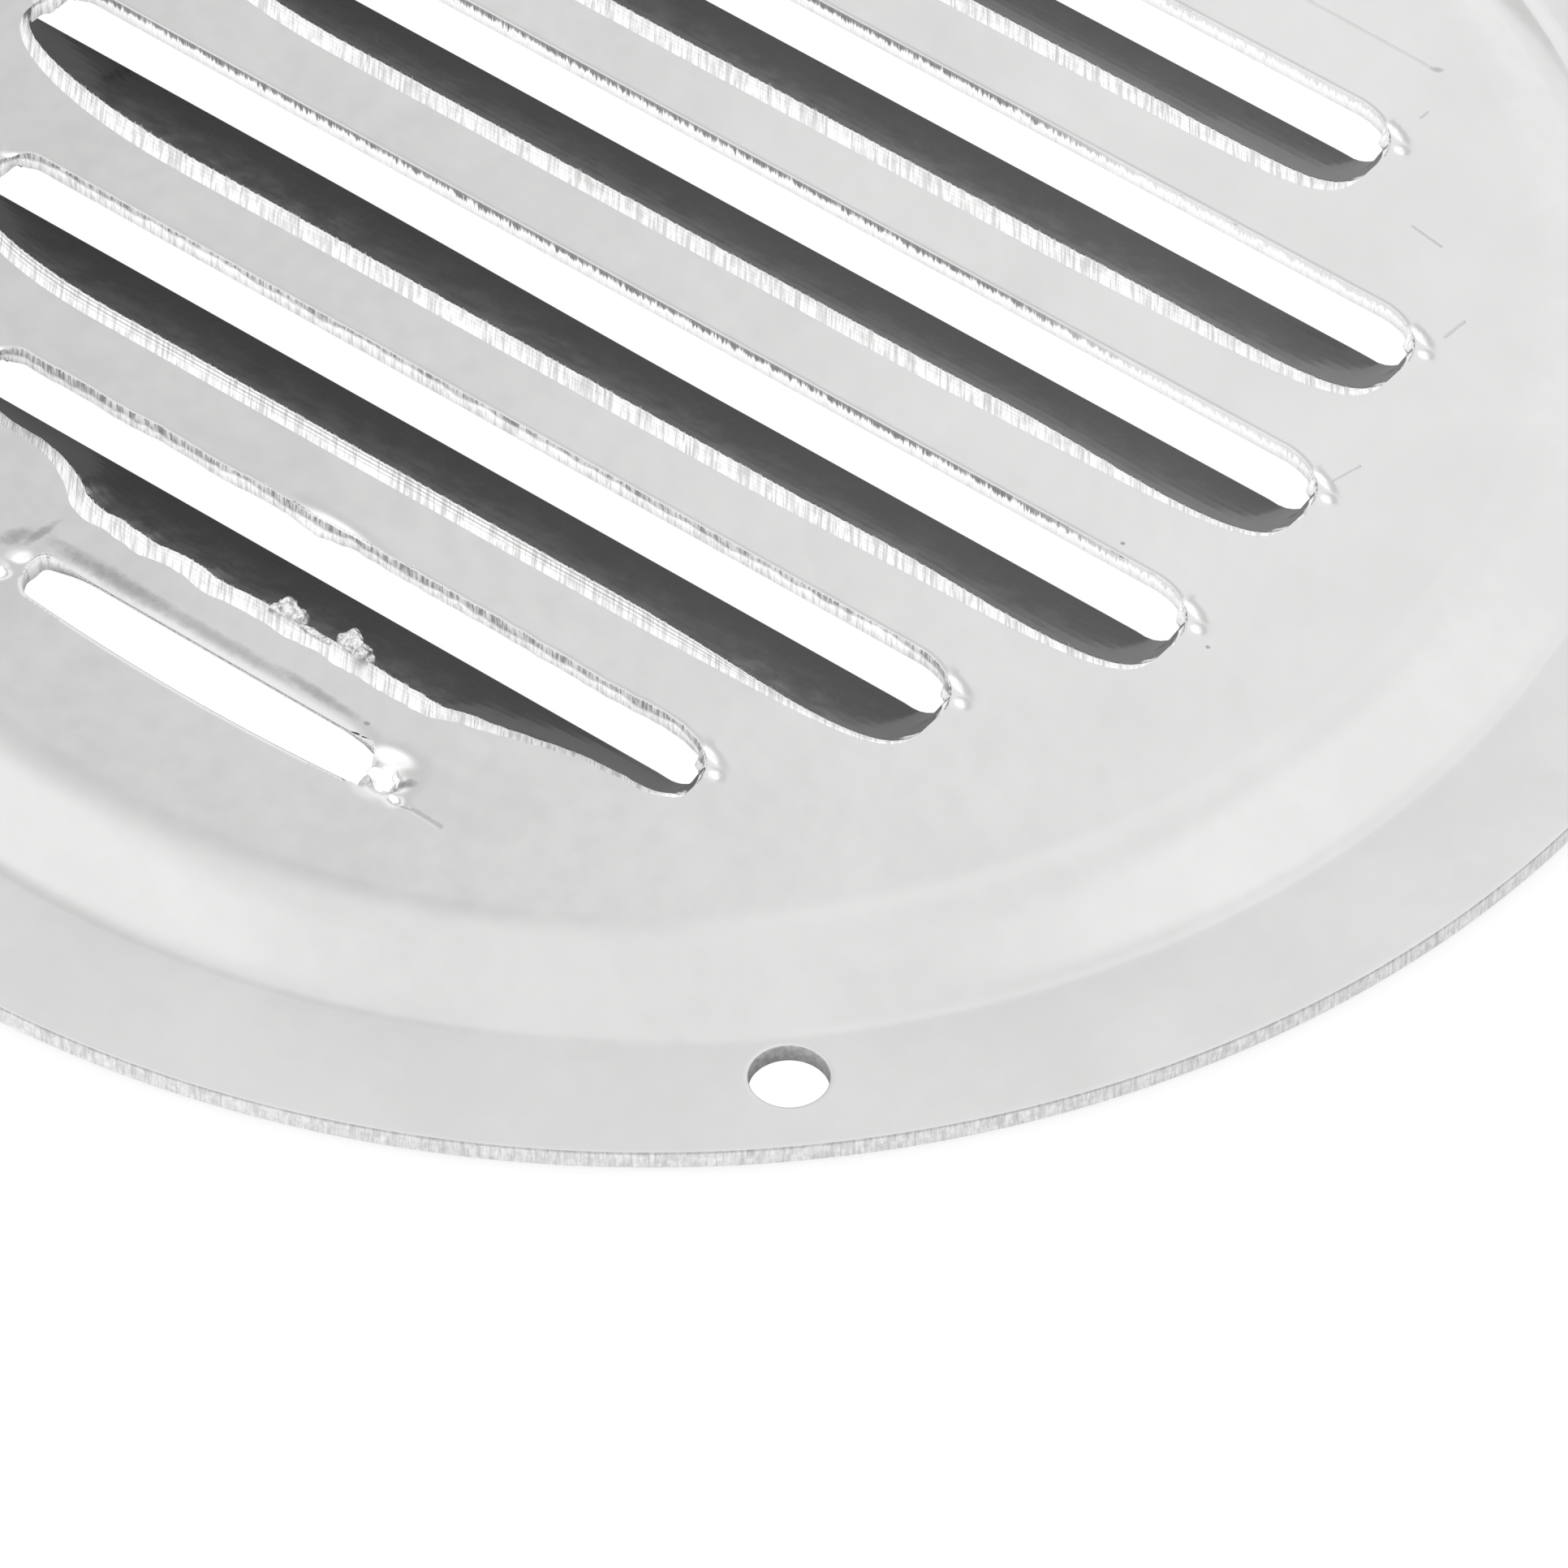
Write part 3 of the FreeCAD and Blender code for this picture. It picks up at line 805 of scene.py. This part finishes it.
# a ramp is given as from, to, first value and last value
polished = {
    "tone": (0.35, 0.65, 0.645, 0.68),
    "blueShare": 0.995,
    "rough": (0.3, 0.7, 0.11, 0.17),
    "peelDepth": 0.03,
    "markTone": 0.8,           # in the scratches
    "markDepth": 0.01,
    "drawn": (0.012, 0.08),    # depths between which a drawn place is painted white, a painted highlight
    "drawnRough": 0.3,
    "rimRough": 0.42,
    "rimFrom": rimInner - 0.5,
    "rimTo": rimInner + 0.4,
    "bandLean": -36.0,         # lines across the scored band
    "bandStretch": (1.0, 0.035, 0.035),
    # the band's tone runs lighter than the flat's: real striations with a painted sheen
    "bandTone": (0.40, 0.55, 0.6, 0.88),
    "bandRough": 0.34,
    "bandDepth": 0.10,
    "bandRagged": 0.45,
    "bandEnd": (1.03, 0.99),
    "ridges": 30.0,            # lines along its outer half, strongest on the third louvre
    "ridgeWander": 3.0,
    "ridgeFrom": (0.35, 0.5),
    "ridgeTone": 0.55,
    "ridgeMiddle": louvres[3].near + 1.5,
    "ridgeReach": (3.4, 2.6, 0.25, 1.0),
}


def polishedSteel(clouds, striations, scratch, shadeSpot):
    look = polished
    material, nodes, shader = newMaterial("polishedSteel")
    place = placeInMillimetres(nodes)
    cloud = addGroup(nodes, clouds, Place=place)
    slanted = nodes.add("ShaderNodeVectorRotate", {"rotation_type": "Z_AXIS"}, Vector=place)
    nodes.feed(slanted, "Angle", math.radians(look["bandLean"]))
    lines = addGroup(nodes, striations, Place=slanted.outputs[0], Stretch=look["bandStretch"])
    bend = nodes.add("ShaderNodeAttribute", {"attribute_name": "bendAcross"}).outputs["Fac"]
    ragged = nodes.math("ADD", bend, nodes.centred(lines.outputs["Tone"], look["bandRagged"]))
    scored = nodes.math("GREATER_THAN", bend, 0.002)
    scored = nodes.math("MULTIPLY", scored, nodes.ramp(ragged, *look["bandEnd"]))
    plan = nodes.vector("MULTIPLY", place, (1, 1, 0))
    marks = 0.0
    for here, there, width, strength in scratches:
        mark = addGroup(nodes, scratch, Place=plan, From=(*here, 0), To=(*there, 0), Width=width)
        marks = nodes.math("MAXIMUM", marks, nodes.math("MULTIPLY", mark.outputs[0], strength))
    paintedShade = 0.0
    for x, y, length, width, lean, strength in shadeSpots:
        cosine, sine = math.cos(math.radians(lean)), math.sin(math.radians(lean))
        along, across = (cosine / length, sine / length, 0), (-sine / width, cosine / width, 0)
        spot = addGroup(nodes, shadeSpot, Place=plan, Centre=(x, y, 0), Along=along, Across=across)
        paintedShade = nodes.math("MAXIMUM", paintedShade, nodes.math("MULTIPLY", spot.outputs[0], strength))
    tone = nodes.ramp(cloud.outputs["Tone"], *look["tone"])
    tone = nodes.math("MULTIPLY", tone, nodes.mix(marks, 1.0, look["markTone"]))
    # painted highlight: the colour of the drawn places is pushed to white
    drawn = nodes.add("ShaderNodeAttribute", {"attribute_name": "drawn"}).outputs["Fac"]
    drawn = nodes.ramp(drawn, *look["drawn"])
    tone = nodes.mix(drawn, tone, 1.0)

    # painted sheen: the scored band's tone is lifted above the polished flat's, with the striations as darker
    # lines
    streak = nodes.ramp(lines.outputs["Tone"], *look["bandTone"])
    wander = nodes.math("MULTIPLY", nodes.noise(place, 0.3, 2.0, 0.5), look["ridgeWander"])
    ridge = nodes.math("ADD", nodes.math("MULTIPLY", bend, look["ridges"]), wander)
    ridge = nodes.ramp(nodes.math("SINE", ridge), 0.2, 0.8)
    away = nodes.math("ABSOLUTE", nodes.math("SUBTRACT", nodes.axis(place, "Y"), look["ridgeMiddle"]))
    ridge = nodes.math("MULTIPLY", ridge, nodes.ramp(bend, *look["ridgeFrom"]))
    ridge = nodes.math("MULTIPLY", ridge, nodes.ramp(away, *look["ridgeReach"]))
    streak = nodes.math("MULTIPLY", streak, nodes.mix(ridge, 1.0, look["ridgeTone"]))
    tone = nodes.mix(scored, tone, streak)
    # painted shade darkens the tone inside the soft patches
    tone = nodes.math("MULTIPLY", tone, nodes.math("SUBTRACT", 1.0, paintedShade))

    rough = nodes.ramp(cloud.outputs["Rough"], *look["rough"])
    rough = nodes.mix(drawn, rough, look["drawnRough"])
    # the rim is less finely polished than the raised flat
    out = nodes.vector("LENGTH", plan, out="Value")
    rough = nodes.mix(nodes.ramp(out, look["rimFrom"], look["rimTo"]), rough, look["rimRough"])
    nodes.feed(shader, "Metallic", 1.0)
    nodes.feed(shader, "Roughness", nodes.mix(scored, rough, look["bandRough"]))
    peel = nodes.math("MULTIPLY", cloud.outputs["Height"], look["peelDepth"])
    height = nodes.mix(scored, peel, nodes.math("MULTIPLY", lines.outputs["Height"], look["bandDepth"]))
    height = nodes.math("SUBTRACT", height, nodes.math("MULTIPLY", marks, look["markDepth"]))
    feedSteel(nodes, shader, tone, height, 1.0, look["blueShare"])
    return material


sheared = {
    "stretch": (1.0, 1.0, 0.12),
    "raisedFrom": 1.6,         # height between the cuts in the rim and those in the flat
    "darkCut": (4.0, -21.0, -0.24, 0.34),   # more of the cut is dark on the lower louvres
    "slotDarkCut": (-26.0, -29.0, 0.0, 0.7),   # and little of it at the slot
    "darkCutPatches": 1.1,
    "darkCutLines": 0.5,
    "darkCutEdge": (0.74, 0.94),
    "topLine": (0.78, 0.88, 0.0, 0.5),
    "streak": (0.40, 0.54, 0.7, 1.0),
    "shade": (0.40, 0.58, 0.2, 0.6),
    "upperFrom": (-7.0, -4.0),   # from the fourth louvre up the cut is painted paler, a painted sheen, under a thin dark line
    "upperFacing": (-0.7, -0.95),
    "upperStreak": (0.36, 0.5, 0.85, 1.0),
    "upperShade": (0.40, 0.58, 0.28, 0.18),
    "lineStrokes": 1.7,
    "lineEdge": (0.56, 0.8),
    "lineWay": (0.79, 0.61, 0.0),   # the line fades in this direction
    "lineFade": (15.0, 23.0, 1.0, 0.4),
    "rimDark": 0.35,
    "rimEdge": 0.6,            # the rim's outer edge has fainter lines, and the hole walls are darker
    "rimTone": (0.36, 0.6, 0.40, 0.56),
    "rimMottle": (0.3, 0.7, 0.84, 1.08),
    "rimTop": (0.80, 0.92, 1.0, 0.7),
    "holeTone": (0.3, 0.7, 0.28, 0.42),
    "metallic": 0.15,
    "rough": 0.42,
    "depth": 0.12,
}


def shearedSteel(striations):
    look = sheared
    material, nodes, shader = newMaterial("shearedSteel")
    place = placeInMillimetres(nodes)
    lines = addGroup(nodes, striations, Place=place, Stretch=look["stretch"])
    stroke = lines.outputs["Tone"]
    level = nodes.axis(place, "Z")
    raised = nodes.math("GREATER_THAN", level, look["raisedFrom"])
    level = nodes.math("SUBTRACT", level, nodes.math("MULTIPLY", raised, dish["flatHeight"] - dish["sheet"]))
    across = nodes.axis(place, "Y")
    # darker parts of the cut: more of it on the lower louvres and little of it at the slot
    darkCut = nodes.ramp(across, *look["darkCut"])
    darkCut = nodes.math("SUBTRACT", darkCut, nodes.ramp(across, *look["slotDarkCut"]))
    darkCut = nodes.math("ADD", level, darkCut)
    darkCut = nodes.math("ADD", darkCut, nodes.centred(nodes.noise(place, 0.35, 3.0, 0.6), look["darkCutPatches"]))
    darkCut = nodes.math("ADD", darkCut, nodes.centred(stroke, look["darkCutLines"]))
    dark = nodes.math("MAXIMUM", nodes.ramp(darkCut, *look["darkCutEdge"]), nodes.ramp(level, *look["topLine"]))
    dark = nodes.math("MULTIPLY", dark, nodes.mix(raised, look["rimDark"], 1.0))

    # only on the long edges, not round the tips
    facing = nodes.axis(nodes.add("ShaderNodeNewGeometry").outputs["True Normal"], "Y")
    upper = nodes.ramp(across, *look["upperFrom"])
    upper = nodes.math("MULTIPLY", upper, nodes.ramp(facing, *look["upperFacing"]))
    line = nodes.ramp(nodes.math("ADD", level, nodes.centred(stroke, look["lineStrokes"])), *look["lineEdge"])
    line = nodes.math("MULTIPLY", line, nodes.ramp(nodes.dot(place, look["lineWay"]), *look["lineFade"]))
    dark = nodes.math("MAXIMUM", dark, nodes.math("MULTIPLY", line, upper))
    # painted light: the sheared faces get a pale tone with little metal, standing in for the light they
    # catch; the strokes are their striations
    streak = nodes.mix(upper, nodes.ramp(stroke, *look["streak"]), nodes.ramp(stroke, *look["upperStreak"]))
    shade = nodes.mix(upper, nodes.ramp(stroke, *look["shade"]), nodes.ramp(stroke, *look["upperShade"]))
    tone = nodes.mix(dark, streak, shade)

    out = nodes.vector("LENGTH", nodes.vector("MULTIPLY", place, (1, 1, 0)), out="Value")
    outer = nodes.math("GREATER_THAN", out, dish["outerRadius"] - look["rimEdge"])
    mottle = nodes.noise(place, 3.2, 4.0, 0.65)
    edge = nodes.ramp(stroke, *look["rimTone"])
    edge = nodes.math("MULTIPLY", edge, nodes.ramp(mottle, *look["rimMottle"]))
    edge = nodes.math("MULTIPLY", edge, nodes.ramp(level, *look["rimTop"]))
    plain = nodes.mix(outer, nodes.ramp(mottle, *look["holeTone"]), edge)
    tone = nodes.mix(raised, plain, tone)
    nodes.feed(shader, "Metallic", look["metallic"])
    nodes.feed(shader, "Roughness", look["rough"])
    feedSteel(nodes, shader, tone, nodes.math("MULTIPLY", lines.outputs["Height"], look["depth"]), 0.8)
    return material


rear = {
    "tone": (0.35, 0.65, 0.58, 0.63),
    "rough": (0.3, 0.7, 0.22, 0.3),
    "depth": 0.04,
}


def rearSteel(clouds):
    material, nodes, shader = newMaterial("rearSteel")
    cloud = addGroup(nodes, clouds, Place=placeInMillimetres(nodes))
    tone = nodes.ramp(cloud.outputs["Tone"], *rear["tone"])
    nodes.feed(shader, "Metallic", 1.0)
    nodes.feed(shader, "Roughness", nodes.ramp(cloud.outputs["Rough"], *rear["rough"]))
    feedSteel(nodes, shader, tone, nodes.math("MULTIPLY", cloud.outputs["Height"], rear["depth"]), 1.0)
    return material


torn = {
    "stretch": (0.6, 0.6, 0.3),
    "tone": (0.36, 0.58, 0.3, 0.8),
    "highlightFrom": (-29.0, -30.5),   # the bits at the slot's ends are painted near white, a painted highlight
    "highlightTone": 0.97,
    "metallic": (0.8, 0.2),
    "rough": 0.24,
    "depth": 0.2,
}


def tornSteel(striations):
    material, nodes, shader = newMaterial("tornSteel")
    place = placeInMillimetres(nodes)
    lines = addGroup(nodes, striations, Place=place, Stretch=torn["stretch"])
    tone = nodes.ramp(lines.outputs["Tone"], *torn["tone"])
    # painted highlight: the bits at the slot's ends turn near white
    bright = nodes.ramp(nodes.axis(place, "Y"), *torn["highlightFrom"])
    tone = nodes.mix(bright, tone, torn["highlightTone"])
    nodes.feed(shader, "Metallic", nodes.mix(bright, *torn["metallic"]))
    nodes.feed(shader, "Roughness", torn["rough"])
    feedSteel(nodes, shader, tone, nodes.math("MULTIPLY", lines.outputs["Height"], torn["depth"]), 0.7)
    return material


clouds, striations, scratch, shadeSpot = polishGroup(), striationGroup(), scratchGroup(), shadeSpotGroup()
cover = buildCover()
cover.data.materials.append(polishedSteel(clouds, striations, scratch, shadeSpot))
cover.data.materials.append(shearedSteel(striations))
cover.data.materials.append(rearSteel(clouds))
print("materials made", len(cover.data.materials))
bits = buildBurrs()
bits.data.materials.append(tornSteel(striations))
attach(bits, "root")
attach(cover, "root")
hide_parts("vent_cover")

# camera at the photograph's viewing angle
view = {
    "turn": 37.8936,
    "rise": 46.8659,
    "distance": 583.902,
    "aim": (22.0307, -19.1959, 0.0),
    "sensor": 36.0,
    "lens": 16539.8 / 1932 * 36,   # focal length in the photograph's pixels, over its width
    "clipStart": 0.01,
}
turn, rise = math.radians(view["turn"]), math.radians(view["rise"])
viewRight = Vector((math.cos(turn), math.sin(turn), 0))
viewAhead = Vector((-math.sin(turn) * math.cos(rise), math.cos(turn) * math.cos(rise), -math.sin(rise)))


def buildCamera():
    up = viewRight.cross(viewAhead)
    place = (Vector(view["aim"]) - view["distance"] * viewAhead) * mm
    data = bpy.data.cameras.new("camera")
    data.sensor_width = view["sensor"]
    data.lens = view["lens"]
    data.clip_start = view["clipStart"]
    camera = bpy.data.objects.new("camera", data)
    facing = Matrix((viewRight, up, -viewAhead)).transposed().to_4x4()
    camera.matrix_world = Matrix.Translation(place) @ facing
    bpy.context.scene.collection.objects.link(camera)
    bpy.context.scene.camera = camera


studio = {
    "floorSize": 2.0,
    "floorTone": 0.9,
    "floorGap": 0.2,           # below the cover, so that the two faces don't flicker
    "underBrim": 1.0,          # strip inside the rim's edge that still counts as around the cover
    "underRun": (-30.0, 45.0),   # what polished metal sees of the floor beneath the cover, left to right: painted shade of the cover, given as a dim glow
    "underLeft": 0.11,
    "underRight": 0.30,
    "paper": 1.14,             # and of the floor around it
    "shadow": 0.3,             # share of the floor's own shading left in view
    "low": 1.32,               # brightness of the light bank round the horizon, and of its right end
    "lowRight": 1.2,
    "lowRun": (0.18, 0.5),
    "lowTop": (0.62, 0.28),    # heights of the direction between which the bank begins
    "front": 3.2,              # the same bank in front of the cover, and as polished metal mirrors it
    "frontMirrored": 1.15,
    "frontWay": (0.1, -0.99, 0.0),
    "frontRun": (0.1, 0.7),
    "left": 0.88,              # light behind the cover, to the left and right of the view
    "right": 1.19,
    "behindRun": (-0.07, 0.055),
    "above": 1.11,             # light over the cover, and its gain towards both sides
    "sides": 0.13,
    "sidesRun": (0.28, 0.58),
    "aboveRun": (-0.44, -0.06),
}


def buildFloor():
    bm = bmesh.new()
    bmesh.ops.create_grid(bm, x_segments=2, y_segments=2, size=studio["floorSize"])
    floor = makeObject(bm, "floor")
    floor.location.z = -studio["floorGap"] * mm
    material, nodes, shader = newMaterial("floorPaper")
    tone = studio["floorTone"]
    nodes.feed(shader, "Base Color", (tone, tone, tone, 1))
    nodes.feed(shader, "Roughness", 0.9)
    nodes.feed(shader, "Specular IOR Level", 0.1)
    path = nodes.add("ShaderNodeLightPath")
    place = placeInMillimetres(nodes)
    away = nodes.vector("LENGTH", place, out="Value")
    beneath = nodes.math("LESS_THAN", away, dish["outerRadius"] - studio["underBrim"])
    white = nodes.add("ShaderNodeEmission", None, Strength=1.0)
    pale = nodes.add("ShaderNodeEmission", None, Strength=studio["paper"])
    # painted shade: under the cover the floor glows dimly to polished metal, dimmer to the left
    under = nodes.dot(place, tuple(viewRight))
    under = nodes.ramp(under, *studio["underRun"], studio["underLeft"], studio["underRight"])
    dim = nodes.add("ShaderNodeEmission", None, Strength=under)
    # straight to the eye: white through the gaps, white with a soft shadow around the cover
    seen = nodes.mixShader(nodes.mix(beneath, 1 - studio["shadow"], 1.0), shader, white)
    mirrored = nodes.mixShader(beneath, pale, dim)
    first = nodes.mixShader(path.outputs["Is Glossy Ray"], shader, mirrored)
    last = nodes.mixShader(path.outputs["Is Camera Ray"], first, seen)
    nodes.feed(material.node_tree.nodes["Material Output"], "Surface", last.outputs[0])
    floor.data.materials.append(material)


def buildWorld():
    world = bpy.data.worlds.new("studio")
    world.use_nodes = True
    nodes = Nodes(world.node_tree)
    path = nodes.add("ShaderNodeLightPath")
    heading = nodes.add("ShaderNodeTexCoord").outputs["Generated"]
    side = nodes.dot(heading, tuple(viewRight))
    behind = nodes.ramp(side, *studio["behindRun"], studio["left"], studio["right"])
    outward = nodes.math("ABSOLUTE", side)
    above = nodes.ramp(outward, *studio["sidesRun"], studio["above"], studio["above"] + studio["sides"])
    towards = nodes.dot(heading, (-viewAhead.x, -viewAhead.y, 0))
    overhead = nodes.mix(nodes.ramp(towards, *studio["aboveRun"]), behind, above)
    low = nodes.ramp(side, *studio["lowRun"], studio["low"], studio["lowRight"])
    front = nodes.mix(path.outputs["Is Glossy Ray"], studio["front"], studio["frontMirrored"])
    bank = nodes.ramp(nodes.dot(heading, studio["frontWay"]), *studio["frontRun"], low, front)
    bright = nodes.mix(nodes.ramp(nodes.axis(heading, "Z"), *studio["lowTop"]), overhead, bank)
    bright = nodes.mix(path.outputs["Is Camera Ray"], bright, 1.0)
    back = world.node_tree.nodes["Background"]
    nodes.feed(back, "Color", (1, 1, 1, 1))
    nodes.feed(back, "Strength", bright)
    bpy.context.scene.world = world


buildCamera()
buildFloor()
buildWorld()
bpy.context.scene.view_settings.view_transform = "Standard"
print("cover, floor, light and camera placed")
